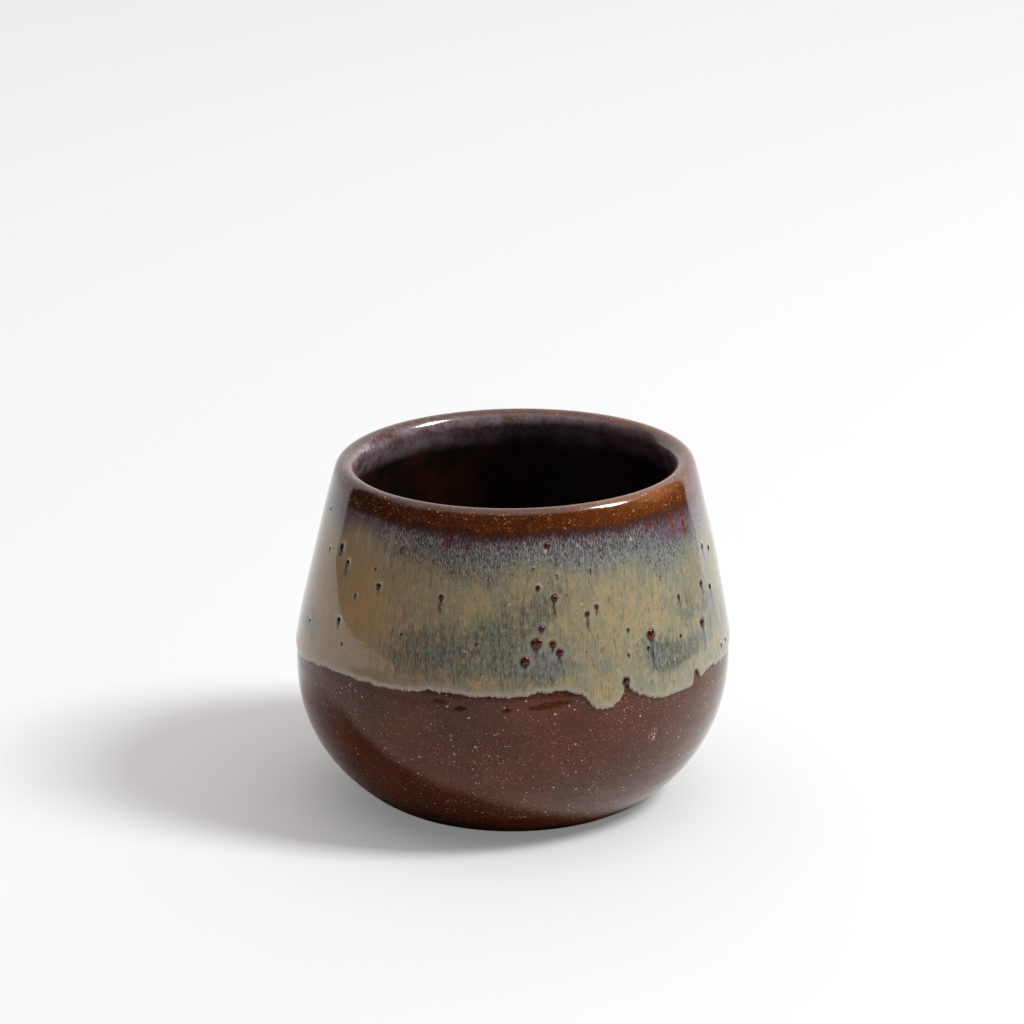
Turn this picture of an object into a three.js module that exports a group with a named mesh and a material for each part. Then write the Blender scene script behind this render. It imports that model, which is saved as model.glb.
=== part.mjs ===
// Handleless stoneware coffee cup: one thrown clay body and the three glaze coats fired on to it.
// Millimetres, +Z up. The origin is the centre of the foot, on the surface that the cup stands on.
// Angles round the cup are in degrees from its front, which faces -Y, and grow towards +X.
import * as THREE from 'three';

// Thrown shape
const cupHeight = 70; // finished, over the glazed lip
const bellyDiameter = 88.6;
const bellyHeight = 29;
const mouthDiameter = 73; // outside of the clay, where the lip starts to round over
const lipThickness = 3.7;
const lipRise = 2.6; // from there up to the clay's crest
const wallThickness = 4.8; // at the belly
const floorThickness = 6; // from the table to the inside floor
const floorFlatDiameter = 36;

// Trimmed foot
const footDiameter = 57;
const footRingWidth = 5.5;
const footRecessDepth = 1.5;
const footRecessSlope = 1.2; // how far the recess's side leans in
const footBevelWidth = 2.1;
const footBevelHeight = 1.2;

// Fullness of the curves: how far each one holds the direction that it starts with
const footFlareAngle = 37.5; // above the table
const footFlareReach = 15;
const bellyReachBelow = 8.5;
const bellyReachAbove = 5;
const mouthTaperAngle = 14.4; // in from upright
const mouthTaperReach = 14;
const lipReach = 1.5;
const crestReach = 1;
const insideReachBelow = 14;
const floorReach = 14;

// Glaze coats
const outerGlazeThickness = 0.4;
const rimGlazeThickness = 0.4;
const linerGlazeThickness = 0.4;
const bondLine = 0.1; // between the clay and a coat
const edgeGap = 0.2; // between the edges of two coats
const coatEdgeRound = 0.8; // width of a coat's rounded edge
const rimBandOutside = 5.6; // amber band, from the lip's crest down the outside
const rimBandInside = 10; // and down the inside

// Lower edge of the outer glaze: how far down the wall from the crest the dip reached,
// the roll of thicker glaze along it, and the places where the glaze ran on or held back
const dipDepth = 36.7;
const runRollThickness = 0.65;
const runRollWidth = 1.8;
const runBluntness = 4; // the higher, the squarer the end of a run
const runs = [
  { at: 10, drop: -0.8, spread: 6 },
  { at: 24, drop: 3.6, spread: 5 },
  { at: 30.3, drop: -1.8, spread: 2 },
  { at: 47, drop: 4.2, spread: 14 },
  { at: 55.2, drop: -2.2, spread: 2.2 },
  { at: 74, drop: 3.1, spread: 13 },
  { at: 112, drop: 2.8, spread: 9 },
  { at: 141, drop: 5.2, spread: 6 },
  { at: 178, drop: 3.6, spread: 14 },
  { at: 209, drop: 5.4, spread: 7 },
  { at: 231, drop: 0.5, spread: 5 },
  { at: 270, drop: 3.3, spread: 30 },
  { at: 318, drop: 0.75, spread: 17 },
  { at: 340, drop: -0.4, spread: 6 },
];

// Facets
const turnSides = 54; // round the clay, the rim and the liner
const runSides = 150; // round the outer glaze, whose edge wanders
const runSteps = 6; // up the outer glaze
const wallSteps = 7; // along each curve of the wall
const lipSteps = 4; // along each half of the lip

const finish = {
  clay: new THREE.MeshStandardMaterial({ color: 0x5a3b30, roughness: 0.55, metalness: 0 }),
  outerGlaze: new THREE.MeshStandardMaterial({ color: 0x8d8467, roughness: 0.12, metalness: 0 }),
  rimGlaze: new THREE.MeshStandardMaterial({ color: 0x6a3a14, roughness: 0.12, metalness: 0 }),
  linerGlaze: new THREE.MeshStandardMaterial({ color: 0x331a0d, roughness: 0.15, metalness: 0 }),
};

const radians = THREE.MathUtils.degToRad;
const point = (radius, height) => new THREE.Vector2(radius, height);
const reach = (from, angle, length) => point(
  from.x + length * Math.cos(radians(angle)),
  from.y + length * Math.sin(radians(angle)),
);

// Named places on the clay's outline, as radius and height
const clayHeight = cupHeight - bondLine - rimGlazeThickness;
const footRadius = footDiameter / 2;
const ringInnerRadius = footRadius - footRingWidth;
const place = {
  recessCentre: point(0, footRecessDepth),
  recessEdge: point(ringInnerRadius - footRecessSlope, footRecessDepth),
  ringInner: point(ringInnerRadius, 0),
  ringOuter: point(footRadius, 0),
  bevelTop: point(footRadius + footBevelWidth, footBevelHeight),
  belly: point(bellyDiameter / 2, bellyHeight),
  lipOutside: point(mouthDiameter / 2, clayHeight - lipRise),
  crest: point((mouthDiameter - lipThickness) / 2, clayHeight),
  lipInside: point(mouthDiameter / 2 - lipThickness, clayHeight - lipRise),
  insideBelly: point(bellyDiameter / 2 - wallThickness, bellyHeight),
  floorEdge: point(floorFlatDiameter / 2, floorThickness),
  floorCentre: point(0, floorThickness),
};

// The clay's outline, from the middle of the underside, up the outside, over the lip and down to the
// inside floor, each curve with the number of facets along it
const outwards = 0;
const up = 90;
const inwards = 180;
const down = -90;
const upTaper = up + mouthTaperAngle;
const downTaper = down + mouthTaperAngle;
const line = (from, to) => ({ curve: new THREE.LineCurve(from, to), steps: 1 });
const bend = (from, leave, arrive, to, steps) => (
  { curve: new THREE.CubicBezierCurve(from, leave, arrive, to), steps }
);
const outsideStretches = [
  line(place.recessCentre, place.recessEdge),
  line(place.recessEdge, place.ringInner),
  line(place.ringInner, place.ringOuter),
  line(place.ringOuter, place.bevelTop),
  bend(
    place.bevelTop,
    reach(place.bevelTop, footFlareAngle, footFlareReach),
    reach(place.belly, down, bellyReachBelow),
    place.belly,
    wallSteps,
  ),
  bend(
    place.belly,
    reach(place.belly, up, bellyReachAbove),
    reach(place.lipOutside, downTaper, mouthTaperReach),
    place.lipOutside,
    wallSteps,
  ),
  bend(
    place.lipOutside,
    reach(place.lipOutside, upTaper, lipReach),
    reach(place.crest, outwards, crestReach),
    place.crest,
    lipSteps,
  ),
];
const insideStretches = [
  bend(
    place.crest,
    reach(place.crest, inwards, crestReach),
    reach(place.lipInside, upTaper, lipReach),
    place.lipInside,
    lipSteps,
  ),
  bend(
    place.lipInside,
    reach(place.lipInside, downTaper, mouthTaperReach),
    reach(place.insideBelly, up, bellyReachAbove),
    place.insideBelly,
    wallSteps,
  ),
  bend(
    place.insideBelly,
    reach(place.insideBelly, down, insideReachBelow),
    reach(place.floorEdge, outwards, floorReach),
    place.floorEdge,
    wallSteps,
  ),
  line(place.floorEdge, place.floorCentre),
];
const stretches = [...outsideStretches, ...insideStretches];
const outline = new THREE.CurvePath();
stretches.forEach(({ curve }) => outline.add(curve));

// Lengths along the outline, and the distances from the lip's crest at which it is cut into facets
const ends = outline.getCurveLengths();
const outlineLength = outline.getLength();
const crestAt = ends[outsideStretches.length - 1];
const insideLength = outlineLength - crestAt;
const stops = stretches.flatMap(({ curve, steps }, i) => Array.from(
  { length: steps },
  (_, k) => ends[i] - curve.getLength() * (1 - k / steps) - crestAt,
));
const stopsBetween = (from, to) => stops.filter((stop) => stop > from && stop < to);

// A point a distance along the outline from the lip's crest, lifted off the clay.
// The distance is negative down the outside and positive down the inside.
function onClay(fromCrest, lift) {
  const share = (crestAt + fromCrest) / outlineLength;
  const spot = outline.getPoint(share);
  const along = outline.getTangent(share);
  const onAxis = fromCrest >= insideLength;
  return point(onAxis ? 0 : spot.x + along.y * lift, spot.y - along.x * lift);
}

// Section of a coat whose facets end at these distances: back along its bonded face, then along its free one
function coatSection(places, thicknessAt) {
  const bonded = places.map((s) => onClay(s, bondLine));
  const free = places.map((s) => onClay(s, bondLine + thicknessAt(s)));
  return [...bonded.reverse(), ...free];
}

// Share of a coat's full thickness at a distance from its edge, which rounds down to a thin lip
const thinnestShare = 0.35;
function roundedEdge(fromEdge) {
  const inward = 1 - THREE.MathUtils.clamp(fromEdge / coatEdgeRound, 0, 1);
  return thinnestShare + (1 - thinnestShare) * Math.sqrt(1 - inward * inward);
}

// How far down the wall the outer glaze reaches at an angle round the cup
function runDepth(angle) {
  return runs.reduce((depth, run) => {
    const away = THREE.MathUtils.euclideanModulo(angle - run.at + 180, 360) - 180;
    return depth + run.drop * Math.exp(-(Math.abs(away / run.spread) ** runBluntness));
  }, dipDepth);
}

// Solid swept round the axis from a closed section that changes with the angle
function sweepRound(sectionAt, sides) {
  const vertices = [];
  const triangles = [];
  let count = 0;
  for (let side = 0; side < sides; side += 1) {
    const angle = (360 * side) / sides;
    const section = sectionAt(angle);
    count = section.length;
    section.forEach((p) => {
      vertices.push(p.x * Math.sin(radians(angle)), -p.x * Math.cos(radians(angle)), p.y);
    });
  }
  for (let side = 0; side < sides; side += 1) {
    const here = side * count;
    const next = ((side + 1) % sides) * count;
    for (let i = 0; i < count; i += 1) {
      const j = (i + 1) % count;
      triangles.push(here + i, next + j, here + j, here + i, next + i, next + j);
    }
  }
  return new THREE.BufferGeometry()
    .setAttribute('position', new THREE.Float32BufferAttribute(vertices, 3))
    .setIndex(triangles);
}

// Solid turned round the axis from a section that starts and ends on it, or closes on itself
function turn(section) {
  return new THREE.LatheGeometry(section, turnSides).rotateX(Math.PI / 2);
}

function clayBody() {
  return turn([...stops, insideLength].map((s) => onClay(s, 0)));
}

// The facets crowd towards the two edges, where the thickness changes
function outerGlaze() {
  const top = -(rimBandOutside + edgeGap);
  const extraRoll = runRollThickness - outerGlazeThickness;
  return sweepRound((angle) => {
    const bottom = -runDepth(angle);
    const places = Array.from(
      { length: runSteps + 1 },
      (_, i) => THREE.MathUtils.lerp(bottom, top, (1 - Math.cos((Math.PI * i) / runSteps)) / 2),
    );
    return coatSection(places, (s) => {
      const roll = extraRoll * Math.exp(-(((s - bottom) / runRollWidth) ** 2));
      return (outerGlazeThickness + roll) * roundedEdge(s - bottom) * roundedEdge(top - s);
    });
  }, runSides);
}

function rimGlaze() {
  const roundOutside = coatEdgeRound - rimBandOutside;
  const roundInside = rimBandInside - coatEdgeRound;
  const section = coatSection(
    [-rimBandOutside, roundOutside, ...stopsBetween(roundOutside, roundInside), roundInside, rimBandInside],
    (s) => rimGlazeThickness * roundedEdge(s + rimBandOutside) * roundedEdge(rimBandInside - s),
  );
  return turn([...section, section[0]]);
}

function linerGlaze() {
  const top = rimBandInside + edgeGap;
  const roundTop = top + coatEdgeRound;
  return turn(coatSection(
    [top, roundTop, ...stopsBetween(roundTop, insideLength), insideLength],
    (s) => linerGlazeThickness * roundedEdge(s - top),
  ));
}

function piece(name, geometry, material) {
  const mesh = new THREE.Mesh(geometry, material);
  mesh.name = name;
  return mesh;
}

const cup = new THREE.Group();
cup.add(
  piece('clay_body', clayBody(), finish.clay),
  piece('outer_glaze', outerGlaze(), finish.outerGlaze),
  piece('rim_glaze', rimGlaze(), finish.rimGlaze),
  piece('liner_glaze', linerGlaze(), finish.linerGlaze),
);

export default cup;
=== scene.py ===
import math
import bpy
import numpy as np
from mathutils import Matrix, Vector


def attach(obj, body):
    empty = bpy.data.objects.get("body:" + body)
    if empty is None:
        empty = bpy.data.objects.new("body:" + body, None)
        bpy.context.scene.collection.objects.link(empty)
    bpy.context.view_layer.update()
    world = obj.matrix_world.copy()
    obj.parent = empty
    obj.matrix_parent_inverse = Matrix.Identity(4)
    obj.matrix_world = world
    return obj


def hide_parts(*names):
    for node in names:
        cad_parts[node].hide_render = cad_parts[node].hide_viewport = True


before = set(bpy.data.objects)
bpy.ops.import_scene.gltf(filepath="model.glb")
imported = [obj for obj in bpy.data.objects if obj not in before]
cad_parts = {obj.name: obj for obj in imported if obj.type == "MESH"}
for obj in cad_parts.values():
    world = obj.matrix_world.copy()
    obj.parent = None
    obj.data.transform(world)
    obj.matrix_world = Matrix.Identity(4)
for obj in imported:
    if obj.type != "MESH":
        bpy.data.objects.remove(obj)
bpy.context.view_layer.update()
mm = 0.001
print("frame loaded:", ", ".join(sorted(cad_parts)))


# the thrown shape, in millimetres: radius first, height second
cup = {
    "height": 70.0,
    "belly": (44.3, 29.0),
    "mouthRadius": 36.5,
    "lipThickness": 3.7,
    "lipRise": 2.6,
    "wall": 4.8,
    "floor": (18.0, 6.0),
    "footRadius": 28.5,
    "footRing": 5.5,
    "recess": (1.2, 1.5),  # lean and depth
    "bevel": (2.1, 1.2),
    "footFlare": (37.5, 15.0),  # angle and reach
    "bellyReach": (8.5, 5.0),  # below and above
    "taper": (14.4, 14.0),
    "lipReach": (1.5, 1.0),
    "floorReach": 14.0,
    "bond": 0.1,
    "rimCoat": 0.4,
    "wallCoat": 0.38,
    "rimBandOutside": 5.7,
    "rimBandInside": 10.1,
}


def srgb(red, green, blue):
    def straighten(level):
        level /= 255
        return level / 12.92 if level <= 0.04045 else ((level + 0.055) / 1.055) ** 2.4
    return (straighten(red), straighten(green), straighten(blue), 1.0)


def smooth(low, high, value):
    t = np.clip((value - low) / (high - low), 0, 1)
    return t * t * (3 - 2 * t)


def aim(start, degrees, reach):
    turn = math.radians(degrees)
    return (start[0] + reach * math.cos(turn), start[1] + reach * math.sin(turn))


def bend(start, leave, arrive, end, steps=48):
    t = np.linspace(0, 1, steps, endpoint=False)[:, None]
    a, b, c, d = (np.array(p) for p in (start, leave, arrive, end))
    return a * (1 - t) ** 3 + 3 * b * t * (1 - t) ** 2 + 3 * c * t ** 2 * (1 - t) + d * t ** 3


def straight(start, end, steps=12):
    t = np.linspace(0, 1, steps, endpoint=False)[:, None]
    return np.array(start) * (1 - t) + np.array(end) * t


# the clay's outline from the middle of the underside, over the lip, to the middle of the inside floor
def drawOutline(c):
    clayTop = c["height"] - c["bond"] - c["rimCoat"]
    ringInner = c["footRadius"] - c["footRing"]
    underMiddle = (0.0, c["recess"][1])
    recessEdge = (ringInner - c["recess"][0], c["recess"][1])
    bevelTop = (c["footRadius"] + c["bevel"][0], c["bevel"][1])
    lipOut = (c["mouthRadius"], clayTop - c["lipRise"])
    crest = (c["mouthRadius"] - c["lipThickness"] / 2, clayTop)
    lipIn = (c["mouthRadius"] - c["lipThickness"], clayTop - c["lipRise"])
    bellyIn = (c["belly"][0] - c["wall"], c["belly"][1])
    lean, hold = c["taper"]
    below, above = c["bellyReach"]
    lipHold, crestHold = c["lipReach"]
    outside = np.vstack([
        straight(underMiddle, recessEdge),
        straight(recessEdge, (ringInner, 0.0)),
        straight((ringInner, 0.0), (c["footRadius"], 0.0)),
        straight((c["footRadius"], 0.0), bevelTop),
        bend(bevelTop, aim(bevelTop, *c["footFlare"]), aim(c["belly"], -90, below), c["belly"]),
        bend(c["belly"], aim(c["belly"], 90, above), aim(lipOut, lean - 90, hold), lipOut),
        bend(lipOut, aim(lipOut, lean + 90, lipHold), aim(crest, 0, crestHold), crest),
    ])
    inside = np.vstack([
        bend(crest, aim(crest, 180, crestHold), aim(lipIn, lean + 90, lipHold), lipIn),
        bend(lipIn, aim(lipIn, lean - 90, hold), aim(bellyIn, 90, above), bellyIn),
        bend(bellyIn, aim(bellyIn, -90, c["floorReach"]), aim(c["floor"], 0, c["floorReach"]), c["floor"]),
        straight(c["floor"], (0.0, c["floor"][1])),
        [[0.0, c["floor"][1]]],
    ])
    points = np.vstack([outside, inside])
    along = np.concatenate([[0], np.cumsum(np.hypot(*np.diff(points, axis=0).T))])
    along -= along[len(outside)]  # distances run from the lip's crest, outside negative
    tangent = np.gradient(points, along, axis=0)
    tangent /= np.linalg.norm(tangent, axis=1)[:, None]
    return {"along": along, "points": points, "normal": np.stack([tangent[:, 1], -tangent[:, 0]], axis=1)}


outline = drawOutline(cup)
underEnd, floorEnd = outline["along"][0], outline["along"][-1]
# the outside wall from below the belly to under the lip
wallPart = slice(np.argmax(outline["along"] > -45), np.argmax(outline["along"] > -3))


def onOutline(fromCrest, lift):
    read = lambda values: np.interp(fromCrest, outline["along"], values)
    radius = read(outline["points"][:, 0]) + lift * read(outline["normal"][:, 0])
    height = read(outline["points"][:, 1]) + lift * read(outline["normal"][:, 1])
    return radius, height


def onCup(angle, fromCrest, lift):
    return placeRound(*onOutline(fromCrest, lift), angle)


def downFromCrest(height):  # outside distance for a height on the upper wall
    heights = outline["points"][wallPart, 1] + cup["wallCoat"] * outline["normal"][wallPart, 1]
    return np.interp(height, heights, outline["along"][wallPart])


def around(sides):
    return np.linspace(0, 2 * np.pi, sides, endpoint=False)


def turnFrom(at, angle):  # degrees from a place, the short way round
    return (np.degrees(angle) - at + 180) % 360 - 180


def arcFrom(at, angle, radius):  # the same in millimetres
    return np.radians(turnFrom(at, angle)) * radius


# slow waves round the cup that close on themselves, in units of about one
def ripples(angle, along, seed, turns, rise, waves=9):
    rng = np.random.default_rng(seed)
    total = 0.0
    for _ in range(waves):
        count = rng.integers(*turns)
        total = total + np.sin(count * angle + rng.uniform(-rise, rise) * along + rng.uniform(0, 6.3))
    return total / math.sqrt(waves)


def wavesRound(angle, tall, seed, turns):
    return tall * ripples(angle, 0.0, seed, turns, 0.0)


# a thrown cup is never quite true: its mouth leans and tips a little
wheelMarks = {
    "lean": 0.6,
    "tip": 0.0145,
    "tipBack": 0.008,
    "oval": 0.0025,
    "ringPitch": 3.4,
    "ringDepth": 0.012,
}


def placeRound(radius, height, angle):
    up = smooth(10, 70, height)
    radius = radius * (1 + wheelMarks["oval"] * up * np.cos(2 * angle - 1))
    x = radius * np.sin(angle)
    y = -radius * np.cos(angle)
    tipped = height + (wheelMarks["tip"] * x - wheelMarks["tipBack"] * y) * up
    return np.stack([x + wheelMarks["lean"] * up, y, tipped], axis=-1)


def throwingRings(angle, along):
    turn = 2 * np.pi / wheelMarks["ringPitch"]
    drift = ripples(angle, along, 5, (1, 4), 0.05, 5)
    return wheelMarks["ringDepth"] * np.sin(turn * along + angle + 1.3 * drift)


def meshPiece(name, points, faces, marks):
    mesh = bpy.data.meshes.new(name)
    mesh.from_pydata((np.array(points) * mm).tolist(), [], faces)
    for label, values in marks.items():
        mesh.attributes.new(label, "FLOAT", "POINT").data.foreach_set("value", values)
    mesh.shade_smooth()
    piece = bpy.data.objects.new(name, mesh)
    bpy.context.collection.objects.link(piece)
    return piece


# mesh from rows of points that each go once round, with a single point at either end where asked
def roundMesh(name, rows, marks, closed=True, poles=(None, None)):
    rowCount, sides = rows.shape[:2]
    points = rows.reshape(-1, 3)
    index = np.arange(rowCount * sides).reshape(rowCount, sides)
    lower = index if closed else index[:-1]
    upper = np.roll(index, -1, axis=0) if closed else index[1:]
    quads = np.stack([lower, np.roll(lower, -1, 1), np.roll(upper, -1, 1), upper], axis=-1)
    faces = quads.reshape(-1, 4).tolist()
    first, last = index[0], index[-1]
    ends = [(np.roll(first, -1), first), (last, np.roll(last, -1))]
    for pole, (left, right) in zip(poles, ends):
        if pole is not None:
            faces += [[len(points), int(a), int(b)] for a, b in zip(left, right)]
            points = np.vstack([points, pole])
    padded = {}
    for label, values in marks.items():
        padded[label] = np.zeros(len(points))
        padded[label][:values.size] = values.reshape(-1)
    piece = meshPiece(name, points, faces, padded)
    piece.data.set_sharp_from_angle(angle=math.radians(55))
    return piece


def dress(piece, material, slot, *nodes):
    piece.data.materials.append(material)
    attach(piece, "root")
    if nodes:
        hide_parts(*nodes)
    print("made", piece.name, "with", len(piece.data.polygons), "faces")


# short ways to write node trees; each socket knows the tree it is in
def node(tree, kind, feeds=None, **settings):
    made = tree.nodes.new(kind)
    for key, value in settings.items():
        setattr(made, key, value)
    for socket, value in (feeds or {}).items():
        if isinstance(value, bpy.types.NodeSocket):
            tree.links.new(value, made.inputs[socket])
        else:
            made.inputs[socket].default_value = value
    return made


def outputsOf(kind, feeds, **settings):
    tree = next(value.id_data for value in feeds.values() if isinstance(value, bpy.types.NodeSocket))
    return node(tree, kind, feeds, **settings).outputs


def feed(socket, target):
    socket.id_data.links.new(socket, target)


def calc(operation, *values):
    return outputsOf("ShaderNodeMath", dict(enumerate(values)), operation=operation)[0]


def times(first, second):
    return calc("MULTIPLY", first, second)


def swing(noise, reach, base):  # noise that moves a value to either side
    return calc("MULTIPLY_ADD", calc("SUBTRACT", noise, 0.5), reach, base)


def blend(factor, first, second, mode="MIX"):
    feeds = {0: factor, 6: first, 7: second}
    return outputsOf("ShaderNodeMix", feeds, data_type="RGBA", blend_type=mode)[2]


def remap(value, low, high, toLow=0.0, toHigh=1.0, curve="SMOOTHSTEP"):
    feeds = {"Value": value, "From Min": low, "From Max": high, "To Min": toLow, "To Max": toHigh}
    return outputsOf("ShaderNodeMapRange", feeds, interpolation_type=curve)["Result"]


def onVector(operation, feeds):
    return outputsOf("ShaderNodeVectorMath", feeds, operation=operation)[0]


def split(vector):
    return outputsOf("ShaderNodeSeparateXYZ", {0: vector})


def join(*parts):
    return outputsOf("ShaderNodeCombineXYZ", dict(enumerate(parts)))[0]


def mark(tree, name):
    return node(tree, "ShaderNodeAttribute", attribute_name=name).outputs["Fac"]


def newGroup(name, takes, gives):
    tree = bpy.data.node_groups.new(name, "ShaderNodeTree")
    for socket, start in takes.items():
        kind = "NodeSocketFloat" if isinstance(start, float) else "NodeSocketColor"
        tree.interface.new_socket(socket, in_out="INPUT", socket_type=kind).default_value = start
    for socket, kind in gives.items():
        tree.interface.new_socket(socket, in_out="OUTPUT", socket_type="NodeSocket" + kind)
    return tree, node(tree, "NodeGroupInput").outputs, node(tree, "NodeGroupOutput").inputs


def use(tree, group, **feeds):
    named = {key[0].upper() + key[1:]: value for key, value in feeds.items()}
    return node(tree, "ShaderNodeGroup", named, node_tree=groups[group]).outputs


# millimetre coordinates, pulled on to one drum so that streaks run true down a leaning wall
def makeDrumGroup(drumRadius):
    tree, _, gives = newGroup("drum coordinates", {}, {"Drum": "Vector", "Place": "Vector"})
    metres = node(tree, "ShaderNodeTexCoord").outputs["Object"]
    place = onVector("SCALE", {0: metres, "Scale": 1 / mm})
    x, y, z = split(place)
    outward = onVector("NORMALIZE", {0: join(x, y)})
    x, y, _ = split(onVector("SCALE", {0: outward, "Scale": drumRadius}))
    feed(join(x, y, z), gives["Drum"])
    feed(place, gives["Place"])
    return tree


# streaks that a glaze leaves as it runs down: noise drawn out along the height
def makeStreakGroup():
    takes = {"Width": 0.3, "Length": 1.5, "Shift": 0.0, "Low": 0.5, "High": 0.6}
    tree, given, gives = newGroup("run streaks", takes, {"Mask": "Float", "Raw": "Float"})
    x, y, z = split(use(tree, "drum")["Drum"])
    across = calc("DIVIDE", 1.0, given["Width"])
    down = calc("DIVIDE", 1.0, given["Length"])
    spot = join(calc("MULTIPLY_ADD", x, across, given["Shift"]), times(y, across), times(z, down))
    feeds = {"Vector": spot, "Scale": 1.0, "Detail": 2.0, "Roughness": 0.6}
    raw = outputsOf("ShaderNodeTexNoise", feeds)["Fac"]
    feed(raw, gives["Raw"])
    feed(remap(raw, given["Low"], given["High"]), gives["Mask"])
    return tree


# cloudy unevenness of a given size
def makeCloudGroup():
    takes = {"Size": 8.0, "Shift": 0.0, "Detail": 3.0}
    tree, given, gives = newGroup("cloudiness", takes, {"Cloud": "Float"})
    spot = onVector("ADD", {0: use(tree, "drum")["Place"], 1: given["Shift"]})
    feeds = {"Vector": spot, "Scale": calc("DIVIDE", 1.0, given["Size"]), "Detail": given["Detail"]}
    feed(outputsOf("ShaderNodeTexNoise", feeds)["Fac"], gives["Cloud"])
    return tree


# scattered specks: one chance of a speck in each cell, of uneven size
def makeSpeckGroup():
    takes = {"Spacing": 1.5, "Size": 0.2, "Share": 0.5, "Shift": 0.0, "Flatten": 1.0}
    tree, given, gives = newGroup("specks", takes, {"Mask": "Float"})
    x, y, z = split(use(tree, "drum")["Place"])
    spot = join(calc("ADD", x, given["Shift"]), y, times(z, given["Flatten"]))
    scale = calc("DIVIDE", 1.0, given["Spacing"])
    cell = outputsOf("ShaderNodeTexVoronoi", {"Vector": spot, "Scale": scale})
    chance = outputsOf("ShaderNodeSeparateColor", {0: cell["Color"]})
    there = calc("LESS_THAN", chance[0], given["Share"])
    size = times(given["Size"], calc("MULTIPLY_ADD", chance[1], 0.8, 0.4))
    mask = remap(calc("SUBTRACT", size, cell["Distance"]), 0.0, 0.06)
    feed(times(mask, there), gives["Mask"])
    return tree


def streaks(tree, **sizes):
    return use(tree, "streaks", **sizes)["Mask" if "low" in sizes else "Raw"]


def cloudy(tree, **sizes):
    return use(tree, "cloud", **sizes)["Cloud"]


def specks(tree, **sizes):
    return use(tree, "specks", **sizes)["Mask"]


# the lip's amber melts through red and purple into blue-grey, then into the glaze below
rimMelt = {
    "span": 16.0,
    "stops": [  # distance below the lip, then red, green and blue
        (3.8, 79, 35, 10),
        (5.1, 64, 27, 17),
        (6.0, 83, 43, 49),
        (7.0, 88, 63, 76),
        (8.2, 96, 87, 98),
        (10.0, 114, 109, 108),
        (11.8, 124, 121, 108),
    ],
    "amberDark": srgb(38, 15, 7),
    "amberLight": srgb(130, 66, 18),
    "amberWest": srgb(54, 24, 13),
    "amberEast": srgb(104, 50, 15),
    "gold": srgb(222, 176, 120),
    "honey": srgb(168, 104, 58),
    "bodyFrom": 9.8,
    "bodyTo": 14.6,
    "fixed": 4.0,  # the lip itself keeps its width
    "ragged": 4.6,
    "uneven": 2.8,
    "westTint": (1.03, 0.84, 0.75, 1.0),  # browner to the left, greener to the right
    "eastTint": (0.97, 1.09, 1.2, 1.0),
    "warmTint": (0.86, 0.77, 0.67, 1.0),  # the melt alone, left of the middle
    "darkHair": srgb(46, 48, 52),
    "paleHair": srgb(172, 170, 158),
}


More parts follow.
